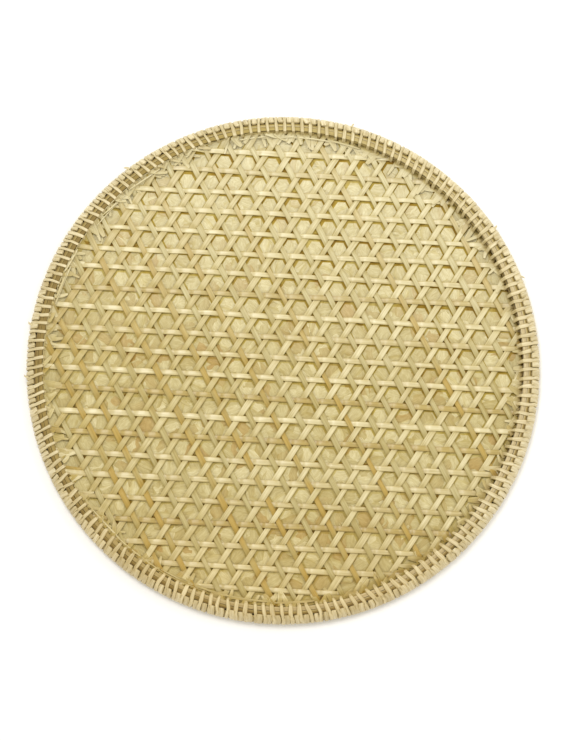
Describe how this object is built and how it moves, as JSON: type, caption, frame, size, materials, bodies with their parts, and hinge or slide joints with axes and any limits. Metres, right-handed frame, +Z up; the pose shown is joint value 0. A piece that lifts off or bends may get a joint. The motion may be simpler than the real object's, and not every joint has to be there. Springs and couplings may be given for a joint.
{
  "type": "bamboo placemat",
  "caption": "Round woven bamboo placemat with an open hexagonal weave over shavings and a low raised rim of hoops bound with cane.",
  "frame": {"origin": "middle of the mat, on the surface it lies on", "axes": "+Z up through the mat's middle, out of its upper side; +X to the right and +Y away from a person at the table"},
  "size_m": [0.38, 0.38, 0.0126],
  "materials": {
    "woven_strip": "thin split bamboo strips, satin, straw to honey",
    "shaving": "papery bamboo shavings, matte, cream to tan",
    "split_bamboo": "split bamboo with its smooth outer skin, satin",
    "flat_bamboo": "flat bamboo strip, brown, matte",
    "cane": "pale cane, satin"
  },
  "bodies": {
    "root": {"weave": "woven_strip", "shavings": "shaving", "hoop_outer": "split_bamboo", "hoop_middle": "flat_bamboo", "hoop_inner": "flat_bamboo", "lashing_1": "cane", "lashing_2": "cane", "lashing_3": "cane", "lashing_4": "cane", "lashing_5": "cane", "lashing_6": "cane"}
  },
  "joints": []
}
